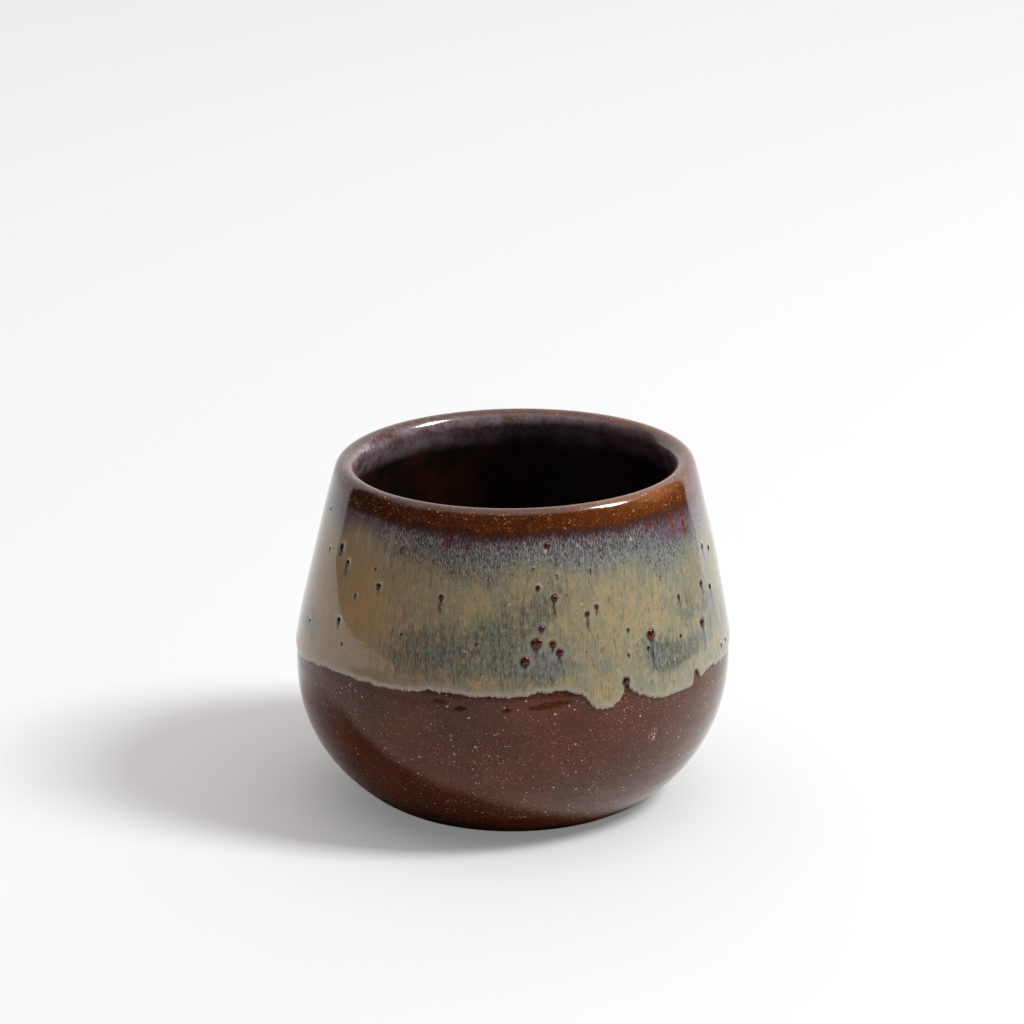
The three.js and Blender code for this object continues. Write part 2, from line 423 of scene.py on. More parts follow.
def makeRimMeltGroup(m):
    takes = {
        "Down": 0.0, "Reach": 1.0, "Blue": 0.0, "Hairs": 1.0, "West": 0.0, "East": 0.0, "Warm": 0.0,
        "Sparkle": 0.0, "Body": (0.3, 0.25, 0.15, 1.0),
    }
    tree, given, gives = newGroup("rim melt", takes, {"Color": "Color", "Hair": "Float"})
    # below the lip the melt is drawn out more in some places than in others
    past = calc("DIVIDE", calc("SUBTRACT", given["Down"], m["fixed"]), given["Reach"])
    drawn = calc("ADD", calc("MAXIMUM", past, 0.0), calc("MINIMUM", given["Down"], m["fixed"]))
    streak = streaks(tree, width=0.22, length=1.6, shift=3.0)
    cloud = cloudy(tree, size=9.0, shift=20.0)
    ragged = times(calc("SUBTRACT", streak, 0.5), m["ragged"])
    uneven = times(calc("SUBTRACT", cloud, 0.5), m["uneven"])
    loose = remap(given["Down"], 1.5, 6.0)  # nothing on the lip itself, then more and more
    shifted = calc("MULTIPLY_ADD", ragged, loose, drawn)
    down = calc("MULTIPLY_ADD", uneven, loose, shifted)
    ramp = node(tree, "ShaderNodeValToRGB", {"Fac": calc("DIVIDE", down, m["span"])})
    edges = ramp.color_ramp.elements
    stops = [(distance / m["span"], srgb(*levels)) for distance, *levels in m["stops"]]
    edges[0].position, edges[0].color = stops[0]
    edges[1].position, edges[1].color = stops[-1]
    for position, color in stops[1:-1]:
        edges.new(position).color = color
    # amber full of dark grain and gold dust
    lip = remap(down, 5.4, 4.2)
    below = calc("SUBTRACT", 1.0, lip)
    color = blend(times(given["West"], lip), ramp.outputs["Color"], m["amberWest"])
    color = blend(times(given["East"], lip), color, m["amberEast"])
    grain = streaks(tree, width=0.3, length=0.5, shift=7.0)
    blotch = cloudy(tree, size=1.5, shift=45.0)
    grain = swing(blotch, 0.7, grain)
    dark = times(remap(grain, 0.5, 0.28), lip)
    light = times(remap(grain, 0.54, 0.76), lip)
    color = blend(times(dark, 0.6), color, m["amberDark"])
    color = blend(times(light, 0.4), color, m["amberLight"])
    dust = specks(tree, spacing=0.36, size=0.3, share=0.6, shift=11.0)
    flakes = specks(tree, spacing=0.8, size=0.22, share=0.22, shift=17.0)
    # the sparkle mark: more gold dust and a honey tint, partly real gold and partly painted glints on the
    # crest
    thick = calc("ADD", remap(blotch, 0.4, 0.62, 0.15, 0.55), times(given["Sparkle"], 0.4))
    glitter = calc("MAXIMUM", times(dust, thick), times(flakes, 0.75))
    color = blend(times(given["Sparkle"], 0.5), color, m["honey"])
    color = blend(times(glitter, lip), color, m["gold"])
    color = blend(remap(down, m["bodyFrom"], m["bodyTo"]), color, given["Body"])
    color = blend(times(given["West"], below), color, m["westTint"], "MULTIPLY")
    melting = times(remap(down, 15.0, 11.0), remap(down, 6.5, 8.5))
    color = blend(times(given["Warm"], melting), color, m["warmTint"], "MULTIPLY")
    lower = times(given["East"], remap(down, 7.5, 11.5))
    color = blend(lower, color, m["eastTint"], "MULTIPLY")
    # dark and pale hairs, thick where the glaze is blue or green and thin where it is ochre
    near = remap(down, 18.5, 9.5)  # short near the lip, long and soft lower down
    short = streaks(tree, width=0.19, length=0.6, shift=30.0)
    long = streaks(tree, width=0.22, length=1.9, shift=58.0)
    hair = calc("MULTIPLY_ADD", calc("SUBTRACT", short, long), near, long)
    pale = streaks(tree, width=0.19, length=0.75, shift=77.0)
    clump = calc("SUBTRACT", streaks(tree, width=0.9, length=3.6, shift=52.0), 0.5)
    blue = calc("MAXIMUM", given["Blue"], remap(down, 17.0, 6.5))
    there = times(below, given["Hairs"])
    pull = calc("MULTIPLY_ADD", clump, 0.45, calc("MULTIPLY_ADD", blue, 0.14, hair))
    bold = times(there, remap(near, 0.0, 1.0, 0.55, 0.8))
    color = blend(times(remap(pull, 0.57, 0.72), bold), color, m["darkHair"])
    lift = remap(calc("MULTIPLY_ADD", blue, 0.1, pale), 0.56, 0.7)
    lift = times(lift, remap(down, 5.0, 7.4))
    faint = times(there, remap(near, 0.0, 1.0, 0.25, 0.55))
    color = blend(times(lift, faint), color, m["paleHair"])
    feed(color, gives["Color"])
    feed(hair, gives["Hair"])
    return tree


groups = {}
groups["drum"] = makeDrumGroup(drumRadius=42.0)
groups["streaks"] = makeStreakGroup()
groups["cloud"] = makeCloudGroup()
groups["specks"] = makeSpeckGroup()
groups["rimMelt"] = makeRimMeltGroup(rimMelt)
print("node groups:", ", ".join(groups))


def newMaterial(name, **sockets):
    material = bpy.data.materials.new(name)
    material.use_nodes = True
    tree = material.node_tree
    shader = tree.nodes["Principled BSDF"]
    for socket, value in sockets.items():
        shader.inputs[socket.replace("_", " ")].default_value = value
    return material, tree, shader


def roughen(shader, height, distance):
    feeds = {"Height": height, "Distance": distance * mm, "Strength": 1.0}
    feed(outputsOf("ShaderNodeBump", feeds)["Normal"], shader.inputs["Normal"])


# bare clay: iron-brown stoneware with pale grit, a satin skin and faint turning lines
clay = {
    "sides": 480,
    "rows": [(underEnd, -68.0, 26), (-68.0, -33.0, 92), (-33.0, 0.0, 16), (0.0, floorEnd, 30)],
    "lump": 0.09,
    "pitDepth": 0.3,
    "dark": srgb(67, 28, 10),
    "light": srgb(95, 45, 20),
    "grit": srgb(208, 178, 156),
    "smearColor": srgb(98, 48, 10),
    "smearEdge": srgb(60, 26, 3),
    "dustColor": srgb(146, 104, 92),
    # the colour of pits, and of the painted shade on the lower left and the foot
    "pitAndShadeColor": srgb(24, 10, 6),
    # angle, height, half width and half height of what marks the bare wall
    "pits": [(-13.5, 32.2, 0.8, 0.46), (-1.5, 32.2, 0.65, 0.34), (8.0, 14.0, 0.55, 0.34)],
    "smears": [
        (6.4, 32.3, 2.4, 0.5), (9.2, 32.7, 2.9, 0.72), (12.4, 33.1, 2.6, 0.55), (-19.0, 32.9, 1.9, 0.6),
    ],
    "scratches": [(39.2, 22.8, 0.9, 1.9), (2.5, 6.2, 3.2, 0.3), (49.5, 21.5, 0.7, 0.7)],
    # painted shade, where the skin is made dark and dull (a mild patch on the left, and the foot): angle,
    # height, half width in degrees, half height, strength
    "shades": [(-38, 24, 20, 9, 0.08), (-26, 3, 30, 5, 0.4)],
    "shadeLine": [(-75, 33), (-50, 26.5), (-35, 19), (-20, 14.2), (-5, 11.2), (10, 7.2), (25, 3), (45, -2)],
    "shadeWave": (0.15, 21, (9, 40)),  # height, seed, how many go round
    "shadeSoft": 2.0,
    "shadeDepth": 0.43,
    # and where it is glossy
    "glosses": [(50, 21, 26, 12, 0.38), (24, 11, 24, 7, 0.35), (42, 3, 14, 5, 0.35)],
}


def ovals(angle, height, radius, spots):
    total = np.zeros_like(height)
    for at, up, halfWide, halfTall in spots:
        across = arcFrom(at, angle, radius) / halfWide
        total = np.maximum(total, 1 - smooth(0.5, 1.1, np.hypot(across, (height - up) / halfTall)))
    return total


def shadeBelow(angle, height, c):  # painted shade: the lower left made dark and dull up to a slanting line, standing in for the table's shadow mirrored in the clay
    turn = turnFrom(0, angle)
    line = np.interp(turn, *zip(*c["shadeLine"])) + wavesRound(angle, *c["shadeWave"])
    ends = smooth(-70, -42, turn) * (1 - smooth(22, 42, turn))
    return c["shadeDepth"] * (1 - smooth(line - c["shadeSoft"], line + c["shadeSoft"], height)) * ends


def makeClayBody(c):
    along = np.concatenate([np.linspace(a, b, n, endpoint=False) for a, b, n in c["rows"]])[1:]
    angle, fromCrest = np.meshgrid(around(c["sides"]), along)
    radius, height = onOutline(fromCrest, 0.0)
    # the wall alone is uneven: not the foot, and not what the glaze hides
    onWall = smooth(underEnd + 32, underEnd + 36, fromCrest) * smooth(-30, -40, fromCrest)
    pits = ovals(angle, height, radius, c["pits"]) * onWall
    scratches = ovals(angle, height, radius, c["scratches"]) * onWall
    lift = c["lump"] * ripples(angle, fromCrest, 2, (2, 7), 0.18) + throwingRings(angle, fromCrest)
    radius, height = onOutline(fromCrest, (lift - c["pitDepth"] * pits) * onWall)
    marks = {
        "pit": pits,
        "scratch": scratches,
        "smear": ovals(angle, height, radius, c["smears"]) * onWall,
        "shade": np.maximum(softPatches(angle, height, c["shades"]), shadeBelow(angle, height, c)),
        "gloss": softPatches(angle, height, c["glosses"]),
    }
    poles = [(0.0, 0.0, cup["recess"][1]), (0.0, 0.0, cup["floor"][1])]
    return roundMesh("clay_body_thrown", placeRound(radius, height, angle), marks, False, poles)


def makeBareClay(c):
    material, tree, shader = newMaterial("bare_clay", IOR=1.1, Coat_IOR=1.5, Coat_Roughness=0.13)
    cloud = cloudy(tree, size=14.0, shift=4.0)
    grain = cloudy(tree, size=0.5, shift=9.0, detail=4.0)
    bands = onVector("MULTIPLY", {0: use(tree, "drum")["Place"], 1: (0.04, 0.04, 1.1)})
    turning = outputsOf("ShaderNodeTexNoise", {"Vector": bands, "Scale": 1.0, "Detail": 3.0})["Fac"]
    tone = swing(grain, 0.9, calc("ADD", times(cloud, 0.85), times(turning, 0.15)))
    color = blend(remap(tone, 0.24, 0.76), c["dark"], c["light"])
    fine = specks(tree, spacing=0.5, size=0.24, share=0.3, shift=2.0, flatten=1.3)
    middling = specks(tree, spacing=0.85, size=0.2, share=0.22, shift=86.0, flatten=1.2)
    coarse = specks(tree, spacing=1.4, size=0.17, share=0.35, shift=6.0, flatten=1.2)
    clustered = remap(cloudy(tree, size=6.0, shift=71.0), 0.38, 0.6, 0.15, 0.75)
    dust = cloudy(tree, size=0.36, shift=27.0, detail=1.0)
    dust = times(remap(dust, 0.57, 0.74, 0.0, 0.7), clustered)
    color = blend(dust, color, c["dustColor"])
    scattered = times(calc("MAXIMUM", fine, middling), clustered)
    grit = calc("MAXIMUM", scattered, times(coarse, 0.85))
    flakes = remap(cloudy(tree, size=0.45, shift=52.0, detail=2.0), 0.52, 0.6)
    grit = calc("MAXIMUM", grit, times(mark(tree, "scratch"), flakes))
    color = blend(grit, color, c["grit"])
    smear = mark(tree, "smear")  # a dull amber stroke, darkest round its edge
    ragged = swing(grain, 1.2, smear)
    color = blend(times(remap(smear, 0.0, 0.8), 0.8), color, c["smearEdge"])
    color = blend(times(remap(ragged, 0.6, 1.3), 0.6), color, c["smearColor"])
    # pits are darkened, and so is the painted shade of the lower left and the foot, whose coat is thinned
    # there so it mirrors less
    shade = mark(tree, "shade")
    for dark in (mark(tree, "pit"), shade):
        color = blend(dark, color, c["pitAndShadeColor"])
    skin = calc("ADD", remap(shade, 0.0, 0.4, 0.52, 0.02, "LINEAR"), mark(tree, "gloss"))
    skin = times(skin, remap(smear, 0.0, 0.8, 1.0, 0.15))
    feed(skin, shader.inputs["Coat Weight"])
    feed(color, shader.inputs["Base Color"])
    satin = remap(grain, 0.3, 0.7, 0.1, 0.17)
    feed(blend(smear, satin, (0.12, 0.12, 0.12, 1)), shader.inputs["Roughness"])
    roughen(shader, calc("ADD", times(grain, 0.6), times(grit, 0.5)), 0.012)
    return material


# the running glaze of the upper half: where its lower edge hangs, its spots and its patches of colour
running = {
    "sides": 900,
    "rows": 88,
    "crowding": 1.15,  # the rows lie closer towards the lower edge
    "backRows": 8,
    "dip": 36.7,
    "teeth": [(0.12, 8, (40, 90)), (0.1, 9, (110, 260))],  # height, seed, how many go round
    "runs": [  # angle round from the front, drop down the wall, half width in degrees
        (270, 3.3, 30), (318, 0.75, 17), (340, -0.4, 6), (10, -0.8, 6), (24, 3.6, 5), (30.3, -1.8, 0.7),
        (47, 4.2, 14), (55.2, -2.2, 1.5), (74, 3.1, 13), (112, 2.8, 9), (141, 5.2, 6), (178, 3.6, 14),
        (209, 5.4, 7), (231, 0.5, 5),
    ],
    "roll": 0.06,
    "rollWidth": 1.7,
    "toe": (0.12, 1.1),  # thickness left at the very edge, as a share, and how far in it is rounded
    "wave": 0.05,
    "olive": srgb(144, 131, 103),
    "ochre": srgb(167, 139, 102),
    "teal": srgb(98, 96, 82),
    "pale": srgb(172, 168, 154),
    "fringe": srgb(150, 141, 128),
    "lilac": srgb(136, 127, 136),
    "rose": srgb(190, 138, 118),
    "silk": (0.74, 0.76, 0.78, 1.0),
    "sage": srgb(123, 127, 108),
    "straw": srgb(175, 152, 114),
    "moss": srgb(78, 84, 74),
    "tick": srgb(62, 62, 52),
    "deep": srgb(60, 61, 54),
    "rust": srgb(78, 30, 28),
    "rustEast": srgb(122, 42, 26),
    "plum": srgb(98, 66, 90),
    "iron": srgb(42, 16, 12),
    "tailColor": srgb(40, 30, 28),
    "tailEast": srgb(58, 56, 74),
    "crescent": srgb(196, 188, 170),
    # angle, height, half width in degrees, half height, strength
    "ochrePatches": [
        (34, 47.5, 12, 8, 0.75), (24, 33, 4, 3, 1.2), (55, 36.6, 7, 1.6, 0.35), (41, 46, 5, 4, 0.4),
        (-10, 37.6, 26, 1.6, 0.5), (-44, 49, 16, 9, 0.45), (16, 52, 9, 6, 0.4), (-8, 52, 12, 5, 0.3),
    ],
    "tealPatches": [
        (-24, 42, 14, 5.5, 0.8), (-4, 43, 12, 6, 0.7), (7, 40, 8, 3.2, 0.9), (43, 39, 5, 3, 0.9),
        (55, 38.2, 8, 1.7, 0.9), (2, 50, 9, 4, 0.5), (46, 58, 12, 4, 0.6), (20, 60, 12, 3, 0.5),
        (66, 44, 7, 6, 0.6), (45, 37, 6, 2, 0.7), (52, 37.5, 4, 1.5, 0.6), (54, 46, 4, 4, 0.4),
        (-34, 61.5, 14, 3, 0.7), (-6, 58, 12, 3, 0.5), (10, 53, 6, 3.5, 0.5), (38, 42.5, 4, 3, 0.5),
        (85, 40, 12, 4, 0.8), (288, 40, 10, 4, 0.7),
    ],
    "rosePatches": [
        (-32.4, 49.8, 1.3, 1.8, 1.0), (-33, 46.6, 1.2, 1.0, 0.8), (-33, 53, 2, 1.6, 0.4),
        (-51, 45, 5, 4, 0.3),
    ],
    "lilacPatches": [
        (8.5, 41.2, 5, 2.2, 0.8), (40, 39.6, 2.2, 2.6, 0.6), (62, 38.6, 1.8, 3, 0.5), (70, 49, 3, 8, 0.6),
        (-18, 41, 3, 3, 0.4),
    ],
    "rustPatches": [
        (54.3, 62.3, 1.2, 1.6, 1.5), (60.2, 61.6, 1.5, 2.1, 1.8), (-20, 63.2, 1.2, 1.0, 0.9),
        (-14, 63.0, 1.2, 1.1, 0.9), (9.7, 63.9, 1.0, 1.1, 0.9), (43, 64, 2.5, 0.8, 0.4),
        (128, 62.6, 1.6, 1.5, 0.9),
    ],
    "plumPatches": [(58, 61.7, 14, 2.3, 1.0)],
    # gentle swells in the glaze's thickness: angle, height, half width in degrees, half height, millimetres
    "swells": [(-39, 44.5, 18, 6.2, 0.22), (-48, 53, 26, 8, 0.13)],
    "westPatches": [(-62, 50, 34, 60, 1.0), (230, 50, 30, 60, 0.8)],
    "warmPatches": [(-28, 50, 30, 60, 1.0), (215, 50, 30, 60, 0.7)],
    "eastPatches": [(44, 50, 26, 60, 1.0), (140, 50, 30, 60, 0.7)],
    # how far the melt under the lip is drawn out: angle, half width, more or less than usual
    "meltReach": [
        (-52, 22, -0.42), (-15, 14, 0.15), (10, 9, -0.2), (55, 16, 0.5), (20, 16, 0.1), (120, 20, -0.3),
        (170, 24, 0.3), (235, 22, -0.2),
    ],
    "meltWave": (0.08, 17, (5, 24)),
    # milky runs: angle, top, bottom, half width
    "milkyRuns": [
        (-39.5, 66.0, 56.5, 0.6), (-48.0, 64.0, 58.0, 0.55), (-53.5, 63.5, 59.0, 0.45),
        (-33.5, 64.5, 61.5, 0.3), (170, 65.0, 58.0, 0.4), (201, 64.5, 59.0, 0.35),
    ],
    # pale flecks: angle, height, radius
    "flecks": [
        (-1.4, 52.4, 0.3), (18.7, 51.8, 0.26), (8.9, 62.3, 0.42), (36.2, 62.3, 0.4), (18.6, 62.8, 0.2),
        (-29.5, 54.2, 0.26), (-13.0, 43.2, 0.25), (-8.0, 38.6, 0.22), (47.0, 37.2, 0.2),
    ],
}

# iron spots: angle, height, bead radius, tail length, redness
ironSpots = [
    (-76, 62.3, 0.45, 0.6, 0.1), (-68, 55.7, 0.5, 0.8, 0.1), (-61, 57.2, 1.0, 1.0, 0.2),
    (-56, 55.2, 0.7, 2.4, 0.1), (-49.5, 49.8, 0.45, 0.6, 0.1), (-55, 43.7, 0.75, 1.6, 0.1),
    (-72, 39.8, 0.5, 1.6, 0.1), (-52, 39.6, 0.4, 0.5, 0.4), (-43.3, 56.1, 0.32, 0.3, 0.2),
    (-41.2, 53.0, 0.62, 1.2, 0.2), (-20.7, 53.1, 0.55, 3.4, 0.4), (6.5, 55.4, 0.5, 1.0, 0.2),
    (9.3, 63.2, 0.6, 0.8, 0.8), (11, 53.3, 0.68, 3.2, 0.8), (7.4, 47.7, 0.62, 0.8, 0.7),
    (5.9, 44.8, 1.05, 1.5, 1.0), (10.3, 44.6, 0.66, 1.4, 0.9), (12.1, 42.9, 0.74, 1.8, 0.9),
    (2.9, 41.4, 0.9, 1.0, 1.0), (20.1, 49.7, 0.52, 2.8, 0.6), (23, 50.9, 0.45, 1.8, 0.3),
    (32, 45.3, 0.36, 0.5, 0.3), (31.5, 40.5, 0.32, 0.3, 0.5), (39.3, 43.3, 0.98, 5.4, 0.9),
    (38, 41.0, 0.4, 0.8, 0.3), (51.8, 48.6, 0.48, 2.2, 0.3), (50.4, 41.1, 0.36, 1.0, 0.3),
    (61.3, 41.4, 0.95, 4.6, 0.7), (64.5, 48.6, 0.72, 2.4, 0.5), (70, 55.0, 0.62, 3.2, 0.2),
    (75.5, 53.5, 0.6, 1.4, 0.2), (70.3, 46.7, 0.7, 5.4, 0.3), (72, 34.2, 0.5, 0.6, 0.2),
    (76.5, 34.2, 0.5, 0.6, 0.2), (30.2, 35.6, 0.85, 0.9, 0.7), (-14, 63.0, 0.32, 0.4, 0.9),
    (60.2, 61.7, 0.55, 0.9, 0.9), (54.3, 62.3, 0.4, 0.5, 0.9), (-31.4, 45.0, 0.26, 0.3, 0.5),
    (-10, 44.7, 0.3, 0.3, 0.5), (45.3, 53.6, 0.24, 1.0, 0.3), (22, 58.0, 0.24, 0.8, 0.3),
    (12, 57.5, 0.26, 1.2, 0.3), (5.2, 59.0, 0.26, 0.3, 0.4),
]
# the back, which the photograph doesn't show, has spots and patches like those of the front
hiddenSpots = {
    "count": 46,
    "seed": 31,
    "ranges": [(98, 262), (37.0, 63.0), (0.22, 0.75), (0.4, 3.2), (0.0, 1.0)],  # in the same order
}


def addHiddenSpots(h):
    rng = np.random.default_rng(h["seed"])
    for _ in range(h["count"]):
        ironSpots.append(tuple(rng.uniform(low, high) for low, high in h["ranges"]))


hiddenPatches = {
    "seed": 47,
    "round": (92, 272),
    "stray": 6,
    "sizes": [(4, 11), (2, 5.5), (0.35, 0.8)],  # half width in degrees, half height, strength
    "ochre": (16, 39.0, 56.0),  # how many, lowest and highest
    "teal": (20, 38.0, 47.0),
    "lilac": (6, 38.0, 45.0),
}


def addHiddenPatches(h):
    rng = np.random.default_rng(h["seed"])
    for kind in ("ochre", "teal", "lilac"):
        count, low, high = h[kind]
        for at in np.linspace(*h["round"], count):
            place = (at + rng.uniform(-h["stray"], h["stray"]), rng.uniform(low, high))
            size = tuple(rng.uniform(least, most) for least, most in h["sizes"])
            running[kind + "Patches"].append(place + size)


addHiddenSpots(hiddenSpots)
addHiddenPatches(hiddenPatches)


def runDepth(angle, g):
    depth = g["dip"]
    for teeth in g["teeth"]:
        depth = depth + wavesRound(angle, *teeth)
    for at, drop, spread in g["runs"]:
        depth = depth + drop * np.exp(-((turnFrom(at, angle) / spread) ** 4))
    return depth


def softPatches(angle, height, patches):
    total = np.zeros_like(height)
    for at, up, halfWide, halfTall, strength in patches:
        across = turnFrom(at, angle) / halfWide
        total = total + strength * np.exp(-(across ** 2) - ((height - up) / halfTall) ** 2)
    return np.clip(total, 0, 1)


def patchMarks(angle, height, source, *kinds):
    return {kind: softPatches(angle, height, source[kind + "Patches"]) for kind in kinds}


# full thickness of the glaze at a distance from the crest, before its lower edge
def coatThickness(angle, fromCrest):
    full = cup["rimCoat"] + (cup["wallCoat"] - cup["rimCoat"]) * smooth(-6, -12, fromCrest)
    sag = running["wave"] * ripples(angle, fromCrest, 12, (3, 12), 0.35, 12)
    swell = softPatches(angle, onOutline(fromCrest, 0.0)[1], running["swells"])
    return full + sag * smooth(-3, -9, fromCrest) + swell * (fromCrest < 0)


def makeOuterGlaze(g):
    angle, part = np.meshgrid(around(g["sides"]), np.linspace(0, 1, g["rows"]) ** g["crowding"])
    bottom, top = -runDepth(angle, g), -cup["rimBandOutside"]
    fromCrest = bottom + (top - bottom) * part
    fromRun = fromCrest - bottom
    thin, inset = g["toe"]
    inward = 1 - np.clip(fromRun / inset, 0, 1)
    edge = thin + (1 - thin) * np.sqrt(1 - inward * inward)
    full = coatThickness(angle, fromCrest) + g["roll"] * np.exp(-((fromRun / g["rollWidth"]) ** 2))
    radius, height = onOutline(fromCrest, cup["bond"] + full * edge)
    backAngle, backPart = np.meshgrid(around(g["sides"]), np.linspace(1, 0, g["backRows"]))
    backFrom = -runDepth(backAngle, g) * (1 - backPart) + top * backPart
    kinds = ("ochre", "teal", "rose", "rust", "lilac", "plum", "west", "east", "warm")
    marks = {
        "fromCrest": fromCrest,
        "fromRun": fromRun,
        **patchMarks(angle, height, g, *kinds),
        **spotMarks(angle, height, radius),
        "milky": milkyMarks(angle, height, radius, g),
        "reach": meltReach(angle, g),
    }
    rows = [placeRound(radius, height, angle), onCup(backAngle, backFrom, cup["bond"])]
    return roundMesh("outer_glaze_coat", np.vstack(rows), marks)


def meltReach(angle, g):
    reach = 1.0 + wavesRound(angle, *g["meltWave"])
    for at, spread, more in g["meltReach"]:
        reach = reach + more * np.exp(-((turnFrom(at, angle) / spread) ** 2))
    return reach


def milkyMarks(angle, height, radius, g):
    milky = np.zeros_like(height)
    for at, top, bottom, half in g["milkyRuns"]:
        across = np.abs(arcFrom(at, angle, radius) + 0.25 * np.sin(height * 0.9 + at))
        ends = smooth(bottom - 0.4, bottom + 1.6, height) * (1 - smooth(top - 3, top + 1, height))
        milky = np.maximum(milky, 0.28 * (1 - smooth(half * 0.2, half * 1.5, across)) * ends)
    for at, up, size in g["flecks"]:
        near = np.hypot(arcFrom(at, angle, radius), height - up)
        milky = np.maximum(milky, 1 - smooth(size * 0.6, size * 1.2, near))
    return milky


def spotMarks(angle, height, radius):
    iron, tail, halo, crescent = (np.zeros_like(height) for _ in range(4))
    for at, up, size, length, red in ironSpots:
        across = arcFrom(at, angle, radius)
        drop = up - height
        near = np.hypot(across, drop)
        # the numbers are shares of the spot's own radius
        iron = np.maximum(iron, 1 - smooth(size * 0.8, size * 1.35, near))
        ring = (1 - smooth(size * 1.4, size * 2.6, near)) * smooth(size * 0.9, size * 1.4, near)
        halo = np.maximum(halo, ring * 0.6)
        along = np.clip(drop / (length + size), 0, 1)
        width = size * (0.72 - 0.4 * along)
        waver = across + 0.12 * np.sin(1.9 * drop + at) * np.clip(drop, 0, 1)
        strip = (1 - smooth(width * 0.5, width * 1.3, np.abs(waver))) * (drop > 0)
        tail = np.maximum(tail, strip * (1 - smooth(0.6, 1.0, along)))
        # where a spot stayed a pit, light catches its upper right edge
        lit = 1 - smooth(size, size * 1.35, np.hypot(across - 0.55 * size, drop + 0.5 * size))
        lit = lit * smooth(size * 0.85, size * 1.1, near)
        crescent = np.maximum(crescent, lit * max(0.0, 1 - 2 * red))
    return {"iron": iron, "tail": tail, "halo": halo, "crescent": crescent}


def makeRunningGlaze(g):
    material, tree, shader = newMaterial("running_glaze", Roughness=0.04, IOR=1.5)
    cloud = cloudy(tree, size=5.0, shift=1.0)
    drift = streaks(tree, width=1.1, length=5.0, shift=64.0)
    sway = calc("ADD", calc("SUBTRACT", cloud, 0.5), calc("SUBTRACT", drift, 0.5))
    ochre = calc("MULTIPLY_ADD", sway, 0.8, mark(tree, "ochre"))
    teal = calc("MULTIPLY_ADD", sway, -0.7, mark(tree, "teal"))
    color = blend(remap(ochre, 0.0, 0.9), g["olive"], g["ochre"])
    color = blend(times(mark(tree, "rose"), 0.4), color, g["rose"])
    color = blend(times(remap(teal, 0.05, 0.85), 0.8), color, g["teal"])
    # sage and straw blotches drawn out a little, and green runs that leave the melt
    west = mark(tree, "west")
    clear = remap(west, 0.3, 0.9, 0.5, 0.08)  # the left is glassy, with hardly a blotch
    blotch = streaks(tree, width=1.1, length=1.7, shift=35.0)
    color = blend(times(remap(blotch, 0.5, 0.64), clear), color, g["sage"])
    color = blend(times(remap(blotch, 0.48, 0.34), clear), color, g["straw"])
    fromLip = times(mark(tree, "fromCrest"), -1.0)
    leaving = times(remap(fromLip, 22.0, 11.0), clear)
    runs = streaks(tree, width=0.55, length=7.0, shift=104.0, low=0.53, high=0.68)
    color = blend(times(runs, leaving), color, g["moss"])
    ticks = streaks(tree, width=0.3, length=0.9, shift=118.0, low=0.66, high=0.72)
    color = blend(times(ticks, 0.75), color, g["tick"])
    clumps = streaks(tree, width=0.75, length=2.6, shift=131.0, low=0.5, high=0.62)
    clumps = times(clumps, remap(teal, 0.2, 0.9, 0.0, 0.34))
    color = blend(clumps, color, g["deep"])
    silk = streaks(tree, width=0.3, length=6.0, shift=23.0, low=0.45, high=0.72)
    color = blend(times(silk, 0.32), color, g["silk"], "MULTIPLY")
    mist = times(mark(tree, "lilac"), remap(silk, 0.0, 1.0, 0.8, 0.3))
    color = blend(mist, color, g["lilac"])
    hairs = remap(calc("SUBTRACT", west, teal), 0.2, 0.8, 1.0, 0.25)
    melt = use(
        tree, "rimMelt", hairs=hairs, down=fromLip, blue=remap(teal, 0.0, 0.9), west=west, body=color,
        **{kind: mark(tree, kind) for kind in ("reach", "east", "warm")},
    )
    rust = times(mark(tree, "rust"), remap(melt["Hair"], 0.3, 0.6, 0.45, 1.0))
    color = blend(times(mark(tree, "plum"), 0.55), melt["Color"], g["plum"])
    rustColor = blend(mark(tree, "east"), g["rust"], g["rustEast"])
    color = blend(rust, color, rustColor)
    # the thin pale edge above the bare clay, with a ragged toe
    fringeHair = streaks(tree, width=0.24, length=1.1, shift=91.0)
    edge = swing(fringeHair, 2.8, mark(tree, "fromRun"))
    wide = calc("MULTIPLY_ADD", west, -0.3, edge)  # wider on the left
    color = blend(times(remap(wide, 2.0, 0.4), 0.75), color, g["fringe"])
    color = blend(times(remap(edge, 0.5, -0.1), 0.8), color, clay["dark"])
    tailHair = remap(melt["Hair"], 0.3, 0.6, 0.35, 1.0)
    color = blend(times(mark(tree, "halo"), 0.4), color, g["pale"])
    tailColor = blend(mark(tree, "east"), g["tailColor"], g["tailEast"])
    color = blend(times(mark(tree, "tail"), tailHair), color, tailColor)
    color = blend(mark(tree, "iron"), color, g["iron"])
    color = blend(times(mark(tree, "crescent"), 0.8), color, g["crescent"])
    color = blend(mark(tree, "milky"), color, g["pale"])
    feed(color, shader.inputs["Base Color"])
    roughen(shader, cloudy(tree, size=1.6, shift=40.0, detail=2.0), 0.008)
    return material


# beads of iron that stand out of the glaze as glassy domes
beads = {
    "sides": 18,
    "rings": 6,
    "rise": 0.3,  # as a share of the bead's radius
    "sunk": 0.25,
    "tall": 1.15,
    "uneven": 0.14,
    "seed": 14,
    "red": srgb(86, 32, 14),
    # painted glint: brighter orange for light caught inside the bead
    "glow": srgb(118, 52, 20),
    "dark": srgb(26, 10, 8),
}


